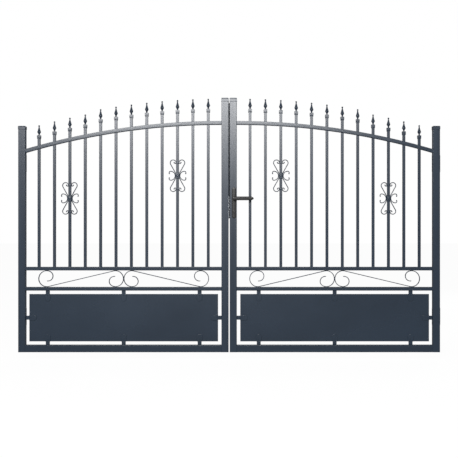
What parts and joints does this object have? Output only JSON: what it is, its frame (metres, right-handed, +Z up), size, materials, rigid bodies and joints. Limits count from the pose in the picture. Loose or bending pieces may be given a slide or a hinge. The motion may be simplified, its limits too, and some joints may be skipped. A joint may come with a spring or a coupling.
{
  "type": "double swing gate",
  "caption": "Double swing gate with an arched top rail, square bars with spear finials, scrolls, a closed lower panel and a lever handle.",
  "frame": {"origin": "middle of the left lower wall plate, on the face that meets the pier", "axes": "+X across the opening towards the right pier, +Y from the front to the rear, +Z up"},
  "size_m": [3.039, 0.177, 1.815],
  "materials": {
    "frame_coat": "satin anthracite powder coat on aluminium tube",
    "cast_coat": "the same powder coat on cast aluminium, a little softer and rougher",
    "panel_coat": "satin anthracite powder coat on flat sheet",
    "hinge_coat": "dark coat on steel hinges, rubbed near the pins",
    "handle_coat": "fine satin black coat",
    "bright_steel": "brushed stainless steel"
  },
  "bodies": {
    "pier_hinges": {"left_lower_wall_hinge": "hinge_coat", "left_upper_wall_hinge": "hinge_coat", "right_lower_wall_hinge": "hinge_coat", "right_upper_wall_hinge": "hinge_coat"},
    "left_leaf": {"left_hinge_stile": "frame_coat", "left_meeting_stile": "frame_coat", "left_stile_caps": "cast_coat", "left_bottom_rail": "frame_coat", "left_panel_rail": "frame_coat", "left_bar_rail": "frame_coat", "left_top_rail": "frame_coat", "left_bars": "frame_coat", "left_finials": "cast_coat", "left_ornaments": "cast_coat", "left_scrolls": "frame_coat", "left_panel": "panel_coat", "left_panel_clips": "panel_coat", "left_hinge_eyes": "hinge_coat", "left_meeting_strip": "frame_coat", "left_lock_keeper": "bright_steel"},
    "right_leaf": {"right_hinge_stile": "frame_coat", "right_meeting_stile": "frame_coat", "right_stile_caps": "cast_coat", "right_bottom_rail": "frame_coat", "right_panel_rail": "frame_coat", "right_bar_rail": "frame_coat", "right_top_rail": "frame_coat", "right_bars": "frame_coat", "right_finials": "cast_coat", "right_ornaments": "cast_coat", "right_scrolls": "frame_coat", "right_panel": "panel_coat", "right_panel_clips": "panel_coat", "right_hinge_eyes": "hinge_coat", "right_lock_face": "bright_steel", "front_handle_plate": "handle_coat", "rear_handle_plate": "handle_coat", "lock_cylinder": "handle_coat"},
    "handle": {"front_lever": "handle_coat", "rear_lever": "handle_coat", "handle_spindle": "bright_steel"}
  },
  "joints": [
    {"name": "left_swing", "type": "hinge", "parent": "pier_hinges", "child": "left_leaf", "pos_m": [0.0245, -0.03, 0], "axis": [0, 0, 1], "range_deg": [0, 90]},
    {"name": "right_swing", "type": "hinge", "parent": "pier_hinges", "child": "right_leaf", "pos_m": [3.0145, -0.03, 0], "axis": [0, 0, -1], "range_deg": [0, 90]},
    {"name": "handle_turn", "type": "hinge", "parent": "right_leaf", "child": "handle", "pos_m": [1.5543, -0.075, 0.848], "axis": [0, 1, 0], "range_deg": [0, 40], "stiffness_Nm_per_rad": 1, "springref_deg": -34.38}
  ]
}
